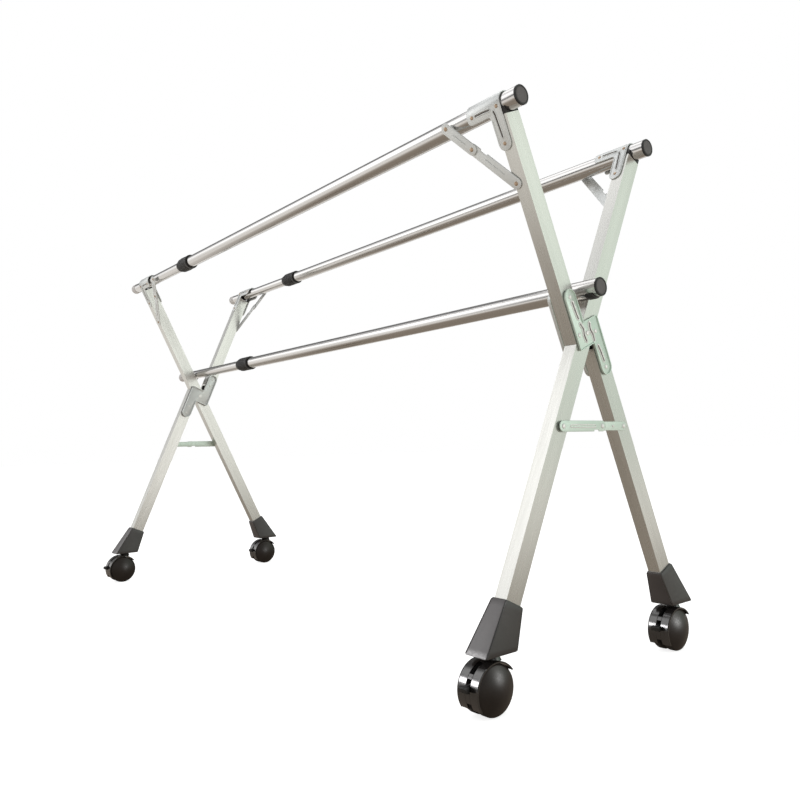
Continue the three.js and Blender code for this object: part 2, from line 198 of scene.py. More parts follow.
def lathe(profile, segments=64, axis="X"):
    """Turns [along, radius] points about the axis.

    A profile whose ends are off the axis is closed on itself.
    """
    bm = bmesh.new()
    rings = []
    for along, radius in profile:
        ring = []
        if radius < 1e-6:
            ring = [bm.verts.new(axis_point(axis, along, 0, 0))]
        else:
            for i in range(segments):
                a = 2 * math.pi * i / segments
                p, q = radius * math.cos(a), radius * math.sin(a)
                ring.append(bm.verts.new(axis_point(axis, along, p, q)))
        rings.append(ring)
    pairs = list(zip(rings, rings[1:]))
    if len(rings[0]) > 1:
        pairs.append((rings[-1], rings[0]))
    for a, b in pairs:
        for i in range(segments):
            j = (i + 1) % segments
            corners = [a[i % len(a)], a[j % len(a)], b[j % len(b)], b[i % len(b)]]
            unique = [v for k, v in enumerate(corners) if v not in corners[:k]]
            if len(unique) > 2:
                bm.faces.new(unique)
    return bm


def axis_point(axis, along, p, q):
    if axis == "X":
        return (along, p, q)
    if axis == "Y":
        return (p, along, q)
    return (p, q, along)


def arc(cx, cy, radius, start, end, steps=10):
    """Points round a centre, angles in degrees."""
    points = []
    for i in range(steps + 1):
        a = math.radians(start + (end - start) * i / steps)
        points.append((cx + radius * math.cos(a), cy + radius * math.sin(a)))
    return points


def rounded_profile(points, radius, steps=4):
    """Rounds the corners of an open [along, radius] profile, except its two ends."""
    out = [points[0]]
    for before, here, after in zip(points, points[1:], points[2:]):
        p, h, n = Vector(before), Vector(here), Vector(after)
        cut = min(radius, (p - h).length * 0.45, (n - h).length * 0.45)
        a = h + (p - h).normalized() * cut
        b = h + (n - h).normalized() * cut
        for i in range(steps + 1):
            t = i / steps
            out.append(tuple(a * (1 - t) ** 2 + h * 2 * t * (1 - t) + b * t ** 2))
    out.append(points[-1])
    return out


def prism(outline, low, high, plane="YZ"):
    """A closed outline made into a plate; plane names the outline's two axes."""
    bm = bmesh.new()
    to3 = {"YZ": lambda u, v, w: (w, u, v), "XZ": lambda u, v, w: (u, w, v)}[plane]
    rings = [[bm.verts.new(to3(u, v, w)) for u, v in outline] for w in (low, high)]
    bm.faces.new(rings[0])
    bm.faces.new(rings[1])
    count = len(outline)
    for i in range(count):
        j = (i + 1) % count
        bm.faces.new([rings[0][i], rings[0][j], rings[1][j], rings[1][i]])
    return bm


def loft(rings):
    """Skin over matching rings, closed at both ends."""
    bm = bmesh.new()
    made = [[bm.verts.new(p) for p in ring] for ring in rings]
    count = len(made[0])
    for a, b in zip(made, made[1:]):
        for i in range(count):
            j = (i + 1) % count
            bm.faces.new([a[i], a[j], b[j], b[i]])
    bm.faces.new(made[0])
    bm.faces.new(made[-1])
    return bm


def bead(points, radius, segments=10):
    """A round bead along a path, with rounded ends."""
    path = [Vector(p) for p in points]
    bm = bmesh.new()
    rings = []
    count = len(path)
    tip = [(radius * out, radius * share) for out, share in BEAD_TIP]
    for k, p in enumerate(path):
        ahead = path[min(k + 1, count - 1)] - path[max(k - 1, 0)]
        ahead.normalize()
        side = ahead.orthogonal().normalized() if k == 0 else (side - ahead * side.dot(ahead)).normalized()
        up = ahead.cross(side)
        spans = [(p, radius)]
        if k == 0:
            spans = [(p - ahead * out, r) for out, r in tip] + [(p, radius)]
        if k == count - 1:
            spans = [(p, radius)] + [(p + ahead * out, r) for out, r in reversed(tip)]
        for centre, r in spans:
            ring = []
            for i in range(segments):
                a = 2 * math.pi * i / segments
                ring.append(bm.verts.new(centre + side * r * math.cos(a) + up * r * math.sin(a)))
            rings.append(ring)
    for a, b in zip(rings, rings[1:]):
        for i in range(segments):
            j = (i + 1) % segments
            bm.faces.new([a[i], a[j], b[j], b[i]])
    bm.faces.new(rings[0])
    bm.faces.new(rings[-1])
    return bm


def merged(meshes):
    """One bmesh from several."""
    out = bmesh.new()
    for bm in meshes:
        mesh = bpy.data.meshes.new("part")
        bm.to_mesh(mesh)
        bm.free()
        out.from_mesh(mesh)
        bpy.data.meshes.remove(mesh)
    return out


def moved(bm, matrix):
    bmesh.ops.transform(bm, matrix=matrix, verts=bm.verts)
    return bm


def put(obj, body, slot, *nodes):
    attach(obj, body)
    if nodes:
        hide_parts(*nodes)
    return obj


# ---- materials ----

def node(tree, kind, **values):
    made = tree.nodes.new(kind)
    for key, value in values.items():
        setattr(made, key, value)
    return made


def noise(tree, coords, scale, detail=3.0, stretch=(1, 1, 1), turn=(0, 0, 0)):
    mapping = node(tree, "ShaderNodeMapping", vector_type="TEXTURE")
    mapping.inputs["Scale"].default_value = stretch
    mapping.inputs["Rotation"].default_value = turn
    tree.links.new(coords.outputs["Object"], mapping.inputs["Vector"])
    tex = node(tree, "ShaderNodeTexNoise")
    tex.inputs["Scale"].default_value = scale
    tex.inputs["Detail"].default_value = detail
    tree.links.new(mapping.outputs["Vector"], tex.inputs["Vector"])
    return tex


def ramp(tree, source, low, high):
    made = node(tree, "ShaderNodeValToRGB")
    made.color_ramp.elements[0].position = NOISE_LOW
    made.color_ramp.elements[0].color = (*low, 1)
    made.color_ramp.elements[1].position = NOISE_HIGH
    made.color_ramp.elements[1].color = (*high, 1)
    tree.links.new(source, made.inputs["Fac"])
    return made


def remap(tree, source, low, high):
    made = node(tree, "ShaderNodeMapRange")
    made.inputs["From Min"].default_value = NOISE_LOW
    made.inputs["From Max"].default_value = NOISE_HIGH
    made.inputs["To Min"].default_value = low
    made.inputs["To Max"].default_value = high
    tree.links.new(source, made.inputs["Value"])
    return made


def surface(name, dark, light, metallic, rough, bump, cloud, stretch=(1, 1, 1), turn=(0, 0, 0),
            coat=0.0, specular=0.5):
    """Two close colours over large soft patches, roughness over fine ones, and a fine bump."""
    mat = bpy.data.materials.new(name)
    mat.use_nodes = True
    tree = mat.node_tree
    shader = tree.nodes["Principled BSDF"]
    coords = node(tree, "ShaderNodeTexCoord")
    large = noise(tree, coords, cloud, 2.0, stretch, turn)
    fine = noise(tree, coords, cloud * 9, 4.0, stretch, turn)
    colour = ramp(tree, large.outputs["Fac"], dark, light)
    tree.links.new(colour.outputs["Color"], shader.inputs["Base Color"])
    roughness = remap(tree, fine.outputs["Fac"], rough[0], rough[1])
    tree.links.new(roughness.outputs["Result"], shader.inputs["Roughness"])
    shader.inputs["Metallic"].default_value = metallic
    shader.inputs["Specular IOR Level"].default_value = specular
    if coat:
        shader.inputs["Coat Weight"].default_value = coat
        shader.inputs["Coat Roughness"].default_value = 0.12
    if bump[0]:
        grain = noise(tree, coords, bump[1], 3.0, stretch, turn)
        height = node(tree, "ShaderNodeBump")
        height.inputs["Strength"].default_value = bump[0]
        height.inputs["Distance"].default_value = 0.0002
        tree.links.new(grain.outputs["Fac"], height.inputs["Height"])
        tree.links.new(height.outputs["Normal"], shader.inputs["Normal"])
    return mat


ALONG_X = (30, 1, 1)
ALONG_Z = (1, 1, 30)

STEEL = surface("polished_stainless", (0.62, 0.61, 0.60), (0.68, 0.67, 0.66),
                1.0, (0.12, 0.18), (0.03, 400.0), 60.0, ALONG_X)
PLATE = surface("pressed_zinc_sheet", (0.72, 0.745, 0.74), (0.78, 0.80, 0.795),
                0.55, (0.36, 0.44), (0.01, 500.0), 18.0)
# Greener copy of the zinc sheet for the near crossing plates and the lower stays: the sheet's own slight
# green, with more green painted in as light from the right side.
GREEN_LIT_PLATE = surface("green_zinc_sheet", (0.63, 0.75, 0.67), (0.70, 0.80, 0.72),
                      0.40, (0.36, 0.44), (0.01, 500.0), 18.0)
# Dark floors of the pressed slots: painted shade inside the slots.
SLOT = surface("slot_shadow", (0.10, 0.085, 0.075), (0.15, 0.13, 0.115),
               0.0, (0.6, 0.7), (0.0, 700.0), 18.0)
# Pale grey for the far end caps of the small tubes: a painted highlight standing in for their bright ends.
HIGHLIGHT_CAP = surface("pale_end_cap", (0.62, 0.60, 0.59), (0.72, 0.70, 0.69),
               0.0, (0.3, 0.4), (0.1, 900.0), 40.0)
WARM_RIVET = surface("bronze_rivet", (0.46, 0.33, 0.23), (0.60, 0.46, 0.34),
                     0.7, (0.3, 0.42), (0.1, 900.0), 60.0)
# Near-white steel: the real colour of the rivet heads, pins, posts, studs and bosses, and a painted
# highlight where it is laid on pressed ridges.
RIVET_AND_RIDGE_HIGHLIGHT = surface("rivet_steel", (0.90, 0.90, 0.88), (0.96, 0.96, 0.94),
                0.2, (0.25, 0.38), (0.1, 900.0), 60.0)
BOOT = surface("boot_plastic", (0.028, 0.024, 0.024), (0.040, 0.034, 0.034),
               0.0, (0.34, 0.46), (0.35, 1500.0), 20.0, specular=0.9)
BLACK = surface("matt_black_plastic", (0.012, 0.012, 0.012), (0.022, 0.021, 0.021),
                0.0, (0.40, 0.55), (0.3, 1400.0), 24.0)
CAP = surface("end_plug_plastic", (0.100, 0.090, 0.092), (0.130, 0.118, 0.120),
              0.0, (0.45, 0.6), (0.3, 1300.0), 30.0)
GLOSS = surface("gloss_black_plastic", (0.010, 0.009, 0.009), (0.016, 0.014, 0.013),
                0.0, (0.14, 0.24), (0.05, 500.0), 22.0, coat=0.6, specular=0.8)
DOME = surface("satin_wheel_cover", (0.014, 0.010, 0.008), (0.022, 0.016, 0.013),
               0.0, (0.33, 0.40), (0.1, 900.0), 26.0, specular=0.36)
TYRE = surface("tyre_polyurethane", (0.012, 0.012, 0.012), (0.02, 0.02, 0.02),
               0.0, (0.5, 0.65), (0.3, 1200.0), 30.0)


def leg_material(name, tilt):
    """Satin silver coating with drawing marks along the leg."""
    return surface(name, (0.63, 0.63, 0.60), (0.69, 0.69, 0.66), 0.85, (0.25, 0.33), (0.05, 500.0), 60.0,
                   ALONG_Z, (tilt, 0, 0))


LEG_MATERIALS = {tilt: leg_material(f"leg_coating_{k}", tilt)
                 for k, tilt in enumerate((SPLIT_TILT, -SPLIT_TILT, STRAIGHT_TILT, -STRAIGHT_TILT))}


# ---- rails ----

def tube(radius, wall, low, high):
    lip = 0.35
    return lathe([(low + lip, radius), (high - lip, radius), (high, radius - lip), (high, radius - wall),
                  (low, radius - wall), (low, radius - lip)])


def end_cap(radius, end_x):
    """Plug with a shallow dished grey face, inside its black rim."""
    profile = [(end_x - 16, 0), (end_x - 16, radius - 1.6), (end_x + 0.2, radius - 1.3),
               (end_x + 0.2, radius - 2.6), (end_x + 3.2, radius - 2.6), (end_x + 3.6, radius - 4.2),
               (end_x + 3.7, radius * 0.45), (end_x + 3.8, 0)]
    return lathe(rounded_profile(profile, 0.5))


def cap_rim(radius, end_x):
    profile = [(end_x + 0.2, radius - 3.0), (end_x + 0.2, radius + 0.5), (end_x + 3.0, radius + 0.5),
               (end_x + 3.9, radius - 0.4), (end_x + 3.9, radius - 2.2), (end_x + 3.3, radius - 3.0)]
    return lathe(profile)


def lock_sleeve(x):
    """Twist-lock collar: stepped cone toward the small tube, ribbed grip, flared lip over the big tube."""
    half = 36.0
    body = [(x - half, INNER_R + 0.4), (x - half, INNER_R + 2.6), (x - half + 9, INNER_R + 4.2),
            (x - half + 12, INNER_R + 4.4), (x - half + 15, OUTER_R + 4.0)]
    grip_start, grip_end = x - half + 15, x + half - 17
    ribs = 6
    for i in range(ribs):
        a = grip_start + (grip_end - grip_start) * (i + 0.35) / ribs
        b = grip_start + (grip_end - grip_start) * (i + 0.55) / ribs
        c = grip_start + (grip_end - grip_start) * (i + 0.80) / ribs
        body += [(a, OUTER_R + 4.2), (b, OUTER_R + 3.3), (c, OUTER_R + 4.2)]
    body += [(grip_end + 1, OUTER_R + 4.3), (x + half - 10, OUTER_R + 3.0), (x + half - 2, OUTER_R + 4.4),
             (x + half, OUTER_R + 4.2), (x + half, OUTER_R + 0.4)]
    return lathe([(x - 2, INNER_R + 0.4)] + rounded_profile(body, 0.8, 3) + [(x, OUTER_R + 0.4)])


def sleeve_wings(x):
    """Lugs that stand out round the grip, for the fingers."""
    lugs = []
    for i in range(10):
        turn = Matrix.Rotation(2 * math.pi * i / 10, 4, "X")
        path = [(x - 14, 0, OUTER_R + 3.6), (x - 4, 0, OUTER_R + 3.9), (x + 12, 0, OUTER_R + 3.7)]
        lug = bead(path, 0.95, 8)
        lugs.append(moved(lug, turn))
    return merged(lugs)


def far_cup(end_x):
    """Cap over the far end of the small tube, its pale colour a painted highlight of the tube's bright end.
    """
    lip, skirt = end_x + 0.2, end_x + 25
    return lathe([(end_x + 0.6, 0), (lip, INNER_R - 3), (lip, INNER_R + 0.2), (end_x + 1.0, INNER_R + 0.9),
                  (end_x + 24, INNER_R + 0.9), (skirt, INNER_R + 0.2), (skirt, INNER_R - 1.2),
                  (end_x + 4, INNER_R - 1.2), (end_x + 4, 0)])


def build_rail(name, y, z, span, outer_body, inner_body, sleeve_body):
    near_x, far_x, sleeve_x = span
    place = Matrix.Translation((CENTRE_X, y + CENTRE_Y, z))
    outer = new_object(f"{name}_rail_outer", tube(OUTER_R, WALL, sleeve_x + GAP, near_x), place, STEEL)
    put(outer, outer_body, "stainless", f"{name}_rail_outer_tube")
    inner = new_object(f"{name}_rail_inner", tube(INNER_R, WALL, far_x, far_x + INNER_TUBE), place, STEEL)
    put(inner, inner_body, "stainless", f"{name}_rail_inner_tube")
    cap = new_object(f"{name}_rail_cap", end_cap(OUTER_R, near_x), place, CAP)
    put(cap, outer_body, "cap", f"{name}_rail_end_cap")
    rim = new_object(f"{name}_rail_cap_rim", cap_rim(OUTER_R, near_x), place, BLACK)
    put(rim, outer_body, "black_plastic")
    # The far cap's pale colour is a painted highlight.
    cup = new_object(f"{name}_rail_far_cap", far_cup(far_x), place, HIGHLIGHT_CAP)
    put(cup, inner_body, "stainless")
    sleeve = new_object(f"{name}_rail_sleeve", lock_sleeve(sleeve_x), place, BLACK)
    put(sleeve, sleeve_body, "black_plastic", f"{name}_rail_lock_sleeve")
    lugs = new_object(f"{name}_rail_sleeve_lugs", sleeve_wings(sleeve_x), place, BLACK)
    put(lugs, sleeve_body, "black_plastic")


def build_seat(name, radius, low, body, node_name):
    """Half-round seat clipped under the middle rail."""
    bore, rim, high = radius + GAP, radius + 3.3, low + SEAT_LENGTH
    section = [(low, bore), (low, rim - 0.9), (low + 0.3, rim - 0.3), (low + 0.9, rim), (high - 2.5, rim),
               (high - 0.8, rim - 0.8), (high, rim - 2.2), (high, bore)]
    place = Matrix.Translation((CENTRE_X, CENTRE_Y, MIDDLE_Z))
    seat = new_object(name, ring_sweep(section, 223, 317, 24), place, BLACK)
    put(seat, body, "black_plastic", node_name)


# ---- legs ----

def dress_legs(end):
    """The frame's own tubes, with rounded corners."""
    flip = -1 if end == "far" else 1
    tilts = {"split_leg_upper": SPLIT_TILT, "split_leg_lower": SPLIT_TILT, "straight_leg": -STRAIGHT_TILT}
    for part, tilt in tilts.items():
        leg = frame["nodes"][f"{end}_{part}"]
        leg.data.materials.clear()
        leg.data.materials.append(LEG_MATERIALS[flip * tilt])
        mod = leg.modifiers.new("corners", "BEVEL")
        mod.width = 1.3 * MM
        mod.segments = 3
        mod.limit_method = "ANGLE"
        mod.angle_limit = math.radians(50)
        mod.use_clamp_overlap = True


def leg_saddle(end, side):
    """Black seat between the leg's cut end and the round rail."""
    half_width = LEG_WIDTH / 2 - 0.1
    hollow = OUTER_R + 0.4
    outline = [(-half_width, -26), (half_width, -26), (half_width, -6.0)]
    outline += [(u, v) for u, v in arc(0, 0, hollow, -22, -158, 18)]
    outline += [(-half_width, -6.0)]
    body = ENDS[end]["split" if side < 0 else "straight"]
    place = leg_top_place(end, side)
    top = [(u, max(v, -17.2)) for u, v in outline]
    half_depth = LEG_DEPTH / 2 - GAP
    seat = new_object(f"{end}_{ENDS[end]['names'][side]}_leg_seat", prism(top, -half_depth, half_depth),
                      place, BLACK)
    round_edges(seat, 0.5)
    put(seat, body, "black_plastic")


# ---- pressed sheet parts ----

def rivet(height=1.7, radius=4.2):
    """Domed rivet head on the Z = 0 plane."""
    profile = [(-0.4, 0), (-0.4, radius), (0.25, radius)]
    profile += [(height * math.sin(math.radians(a)) * 0.86 + 0.25, radius * math.cos(math.radians(a)))
                for a in (18, 36, 54, 70)]
    profile += [(height, radius * 0.12), (height, 0)]
    return lathe(profile, 28, "Z")


def rivets(name, spots, body, place, height=1.7, radius=4.2, material=None):
    """spots are (position, outward direction) in the place's own axes."""
    made = []
    for position, outward in spots:
        turn = Vector(outward).to_track_quat("Z", "Y").to_matrix().to_4x4()
        made.append(moved(rivet(height, radius), Matrix.Translation(position) @ turn))
    obj = new_object(name, merged(made), place, material or RIVET_AND_RIDGE_HIGHLIGHT, 50)
    put(obj, body, "plate")


def cross_outline(shrink=0.0, corner=3.0):
    arm, end, square = 15.0 - shrink, 71.0, 22.0 - shrink
    upper, lower = -UPPER_OFFSET, LOWER_OFFSET
    points = arc(upper - arm + corner, -square + corner, corner, 180, 270, 5)
    points += [(lower - arm, -square), (lower - arm, -end)]
    points += arc(lower, -end, arm, 180, 360, 16)[1:]
    points += arc(lower + arm - corner, square - corner, corner, 0, 90, 5)
    points += [(upper + arm, square), (upper + arm, end)]
    points += arc(upper, end, arm, 0, 180, 16)[1:]
    return points


def slot_ridge(path, x, half, radius):
    """Raised border of a pressed slot: a closed bead round a path, given in (y, z)."""
    points = [Vector(q) for q in path]
    left, right = [], []
    for k, q in enumerate(points):
        ahead = (points[min(k + 1, len(points) - 1)] - points[max(k - 1, 0)]).normalized()
        across = Vector((-ahead.y, ahead.x))
        left.append(q + across * half)
        right.append(q - across * half)
    tip = points[-1] + (points[-1] - points[-2]).normalized() * half
    tail = points[0] + (points[0] - points[1]).normalized() * half
    loop = [tail] + left + [tip] + right[::-1] + [tail]
    return bead([(x, q.x, q.y) for q in loop], radius, 8)


def groove_strip(path, x):
    """Floor of a pressed slot, a thin flat strip along the path, laid in the slot's painted shade."""
    return merged([prism(strip_outline(a, b, SLOT_HALF), x - GAP, x + SLOT_PROUD)
                   for a, b in zip(path, path[1:])])


CROSS_SLOTS = (
    [(-17.5, 62), (-16.5, 46), (-14.5, 31)],
    [(-13.5, 21), (-9.5, 10), (-11.5, -1), (-10.0, -12)],
    [(12.0, 15), (9.5, 4), (12.5, -7), (11.5, -18)],
    [(18.0, -30), (20.5, -44), (22.0, -60)],
)


def cross_ribs(x):
    """Pressed ridges of the crossing plate: slots down each arm and curved ones round the pivot."""
    beads = []
    for path in CROSS_SLOTS:
        smooth = [(q.x, q.y) for q in smooth_path([(u, v, 0) for u, v in path])]
        beads.append(slot_ridge(smooth, x, 2.9, 1.4))
    return merged(beads)


def smooth_path(points, steps=6):
    """Catmull-Rom through the points."""
    pts = [Vector(p) for p in points]
    pts = [pts[0] * 2 - pts[1]] + pts + [pts[-1] * 2 - pts[-2]]
    out = []
    for k in range(1, len(pts) - 2):
        a, b, c, d = pts[k - 1:k + 3]
        for i in range(steps):
            t = i / steps
            out.append(0.5 * (2 * b + (c - a) * t + (2 * a - 5 * b + 4 * c - d) * t * t
                              + (3 * b - a - 3 * c + d) * t ** 3))
    out.append(pts[-2])
    return out


def build_cross(end):
    """The two crossing plates with their ridges, slots, rivets and pivot pin, and a black sheet behind the
    inner plate as painted shade.
    """
    body = ENDS[end]["split"]
    # The near crossing plates take the greener copy, part of its green painted light; the far ones take the
    # plain sheet.
    sheet_metal = GREEN_LIT_PLATE if end == "near" else PLATE
    place = split_place(end)
    face = OUTER_PLATE_X + SHEET
    plate = new_object(f"{end}_crossing_outer", prism(cross_outline(), OUTER_PLATE_X, face), place,
                       sheet_metal)
    round_edges(plate, 0.7, 3)
    put(plate, body, "plate", f"{end}_cross_plate_outer")
    # The plate's ridges take the near-white steel, not the sheet's own colour: a painted highlight along
    # them.
    ribs = new_object(f"{end}_crossing_outer_ribs", cross_ribs(face), place, RIVET_AND_RIDGE_HIGHLIGHT)
    put(ribs, body, "plate")
    edge = new_object(f"{end}_crossing_outer_rim", pan_rim(face - 1, face + 2), place, sheet_metal)
    put(edge, body, "plate")
    for k, path in enumerate(CROSS_SLOTS):
        floor = new_object(f"{end}_crossing_slot_{k}", groove_strip(path, face), place, SLOT)
        put(floor, body, "plate")
    spots = [((face, y, z), (1, 0, 0)) for y, z in ((-19, 72), (-24, 4), (23, -4), (23, -72))]
    rivets(f"{end}_crossing_outer_rivets", spots, body, place, 2.0, 4.0)

    outside = INNER_PLATE_X - SHEET
    leg_face = -LEG_DEPTH / 2
    sheet = new_object(f"{end}_crossing_inner", prism(cross_outline(), outside, INNER_PLATE_X), place,
                       sheet_metal)
    round_edges(sheet, 0.6, 2)
    put(sheet, body, "plate", f"{end}_cross_plate_inner")
    # Black sheet filling the gap between the inner plate and the legs: painted shade, drawn as a dark line.
    shade_sheet = new_object(f"{end}_crossing_spacer",
                        prism(cross_outline(0.4), INNER_PLATE_X + 0.05, leg_face - 0.1), place, BLACK)
    put(shade_sheet, body, "black_plastic")
    wall = pan_rim(INNER_PLATE_X - INNER_PLATE_DEPTH, INNER_PLATE_X - 1)
    rim = new_object(f"{end}_crossing_inner_rim", wall, place, PLATE)
    put(rim, body, "plate")
    boss = [(INNER_PLATE_X - 1, 0), (INNER_PLATE_X - 1, 6), (leg_face - GAP, 6), (leg_face - GAP, 0)]
    bosses = [moved(lathe(boss, 24), Matrix.Translation((0, y, z)))
              for y, z in ((-UPPER_OFFSET, 48), (LOWER_OFFSET, -48))]
    put(new_object(f"{end}_crossing_bosses", merged(bosses), place, RIVET_AND_RIDGE_HIGHLIGHT), body, "plate")
    spots = [((outside, y, z), (-1, 0, 0)) for y, z in ((-19, 72), (-19, 48), (23, -48), (23, -72))]
    rivets(f"{end}_crossing_inner_rivets", spots, body, place, 1.3, 3.4)
    shank = [(outside - 1.6, 0), (outside - 1.6, 5), (outside, 6), (outside, 4), (face + 0.1, 4),
             (face + 0.1, 5.0), (face + 1.4, 4.0), (face + 2.0, 0)]
    pin = new_object(f"{end}_crossing_pin", lathe(rounded_profile(shank, 0.4)), place, RIVET_AND_RIDGE_HIGHLIGHT, 50)
    put(pin, body, "plate")


def pan_rim(low, high):
    """A plate's turned edge, a wall that follows its outline."""
    outside, inside = cross_outline(), cross_outline(1.6, 1.6)
    bm = bmesh.new()
    loops = [[bm.verts.new((x, u, v)) for u, v in line]
             for line, x in ((outside, low), (outside, high), (inside, high), (inside, low))]
    count = len(outside)
    for a, b in zip(loops, loops[1:] + loops[:1]):
        for i in range(count):
            j = (i + 1) % count
            bm.faces.new([a[i], a[j], b[j], b[i]])
    return bm


def saddle_outline():
    """Half of the flat blank: x along the rail, s down from the ridge."""
    bar_from, bar_to, bar_low, corner = -68.0, 7.0, 13.0, 9.0
    stem_from, stem_end = -19.0, 60.0
    arch = math.pi / 2 * SADDLE_R
    stem_r = (bar_to - stem_from) / 2
    points = [(bar_to, 0.0), (bar_to, arch + stem_end)]
    points += arc(stem_from + stem_r, arch + stem_end, stem_r, 0, 180, 18)[1:]
    points += [(stem_from, arch + bar_low + 6)]
    points += arc(stem_from - 6, arch + bar_low + 6, 6, 0, -90, 8)[1:]
    points += arc(bar_from + corner, arch + bar_low - corner, corner, 90, 180, 10)
    points += [(bar_from, 0.0)]
    return points, arch


def bend_over_rail(bm, arch, side):
    """Wraps the blank: s up to arch goes round the rail, the rest hangs straight down."""
    for v in bm.verts:
        x, s = v.co.x, v.co.y
        if s <= arch:
            a = s / SADDLE_R
            v.co = Vector((x, side * SADDLE_R * math.sin(a), SADDLE_R * math.cos(a)))
        else:
            v.co = Vector((x, side * SADDLE_R, -(s - arch)))
    return bm


def saddle_sheet():
    points, arch = saddle_outline()
    halves = []
    for side in (-1, 1):
        bm = bmesh.new()
        bm.faces.new([bm.verts.new((x, s, 0)) for x, s in points])
        steps = 14
        for i in range(1, steps + 1):
            cut = arch * i / steps
            geometry = bm.verts[:] + bm.edges[:] + bm.faces[:]
            bmesh.ops.bisect_plane(bm, geom=geometry, plane_co=(0, cut, 0), plane_no=(0, 1, 0))
        halves.append(bend_over_rail(bm, arch, side))
    whole = merged(halves)
    bmesh.ops.remove_doubles(whole, verts=whole.verts, dist=0.01)
    return whole


def side_ridge(line, y, half, radius):
    """Raised border of a pressed slot on a face square to Y; the line is given in (x, z)."""
    bm = slot_ridge(line, 0, half, radius)
    return moved(bm, Matrix(((0, 1, 0, 0), (1, 0, 0, y), (0, 0, 1, 0), (0, 0, 0, 1))))


def side_ridge_open(line, y, radius):
    return bead(smooth_path([(x, y, z) for x, z in line]), radius, 8)


# Floor of a pressed slot on a side face, coloured dark as painted shade.
def side_strip(line, y, side):
    low, high = sorted((y - side * GAP, y + side * SLOT_PROUD))
    parts = [prism(strip_outline(a, b, 1.1), low, high, "XZ") for a, b in zip(line, line[1:])]
    return merged(parts)


def build_saddle(end, side):
    label = f"{end}_{ENDS[end]['names'][side]}"
    body = ENDS[end]["split" if side < 0 else "straight"]
    place = leg_top_place(end, side)
    sheet = new_object(f"{label}_saddle", saddle_sheet(), place, PLATE)
    solid = sheet.modifiers.new("sheet", "SOLIDIFY")
    solid.thickness = SHEET * MM
    solid.offset = 0.0
    solid.use_even_offset = True
    bake(sheet)
    round_edges(sheet, 0.6, 3, 50)
    put(sheet, body, "plate", f"{label}_saddle_bracket")
    beads, slots, spots = [], [], []
    for s in (-1, 1):
        y = s * SADDLE_FACE
        stem = [(-6, y, -50), (-7, y, -30), (-8, y, -12), (-9.5, y, -7)]
        bar = [(-17, y, -2), (-30, y, -1), (-48, y, -1)]
        for path in (stem, bar):
            line = [(q.x, q.z) for q in smooth_path(path)]
            beads.append(side_ridge(line, y, 2.5, 1.0))
            slots.append(side_strip([(q[0], q[2]) for q in path], y, s))
        beads.append(side_ridge_open([(4.6, -60), (4.6, -6), (3.5, 6)], y, 0.9))
        beads.append(side_ridge_open([(-16.6, -60), (-16.6, -20)], y, 0.9))
        spots += [((-1, y, -1), (0, s, 0)), ((-57, y, -1), (0, s, 0)), ((-6, y, -61), (0, s, 0))]
    ridge = new_object(f"{label}_saddle_ribs", merged(beads), place, PLATE)
    put(ridge, body, "plate")
    put(new_object(f"{label}_saddle_slots", merged(slots), place, SLOT), body, "plate")
    rivets(f"{label}_saddle_rivets", spots, body, place, 1.3, 3.2, WARM_RIVET)


def strip_outline(a, b, half, notch=None):
    """Strip with round ends; notch = (share of length, half length, depth) cut in one long edge."""
    a, b = Vector(a), Vector(b)
    along = (b - a).normalized()
    angle = math.degrees(math.atan2(along.y, along.x))
    points = arc(a.x, a.y, half, angle + 90, angle + 270, 14)
    points += arc(b.x, b.y, half, angle - 90, angle + 90, 14)
    if notch:
        share, reach, depth = notch
        across = Vector((-along.y, along.x))
        middle = a.lerp(b, share) + across * half
        points += [tuple(middle + along * reach), tuple(middle + along * (reach - 1) - across * depth),
                   tuple(middle - along * (reach - 1) - across * depth), tuple(middle - along * reach)]
    return points


def build_diagonal(end, side):
    label = f"{end}_{ENDS[end]['names'][side]}"
    body = ENDS[end]["split" if side < 0 else "straight"]
    place = leg_top_place(end, side)
    rail_end, leg_end = Vector((-118, 2)), Vector((-8, -128))
    middle = rail_end.lerp(leg_end, 0.385)
    low = LEG_WIDTH / 2 + 0.5
    top = low + STAY_STEP

    def layer(inside):
        return (inside, inside + SHEET) if side > 0 else (-inside - SHEET, -inside)

    short = new_object(f"{label}_stay_short", prism(strip_outline(rail_end, middle, 10), *layer(top), "XZ"),
                       place, PLATE)
    round_edges(short, 0.6, 3)
    put(short, body, "plate", f"{label}_stay_short_link")
    outline = strip_outline(middle, leg_end, 10, (0.22, 8, 3.0))
    long = new_object(f"{label}_stay_long", prism(outline, *layer(low), "XZ"), place, PLATE)
    round_edges(long, 0.6, 3)
    put(long, body, "plate", f"{label}_stay_long_link")
    ends = [((q.x, side * (y + SHEET), q.y), (0, side, 0))
            for q, y in ((rail_end, top), (middle, top), (leg_end, low))]
    rivets(f"{label}_stay_rivets", ends, body, place, 1.7, 3.8, WARM_RIVET)
    reach = top - OUTER_R + 1
    stem = lathe([(-1.2, 0), (-1.2, 3.2), (reach, 3.2), (reach, 0)], 24, "Y")
    root = Matrix.Translation((rail_end.x, side * OUTER_R, rail_end.y))
    stem = moved(stem, root @ Matrix.Scale(side, 4, (0, 1, 0)))
    post = new_object(f"{label}_stay_post", stem, place, RIVET_AND_RIDGE_HIGHLIGHT)
    put(post, body, "plate")
    grooves = []
    for a, b, y in ((rail_end, middle, top + SHEET), (middle, leg_end, low + SHEET)):
        p, q = a.lerp(b, 0.30), a.lerp(b, 0.74)
        grooves.append(bead([(t.x, side * y, t.y) for t in (p, (p + q) / 2, q)], 0.9))
    ridge = new_object(f"{label}_stay_ribs", merged(grooves), place, PLATE)
    put(ridge, body, "plate")


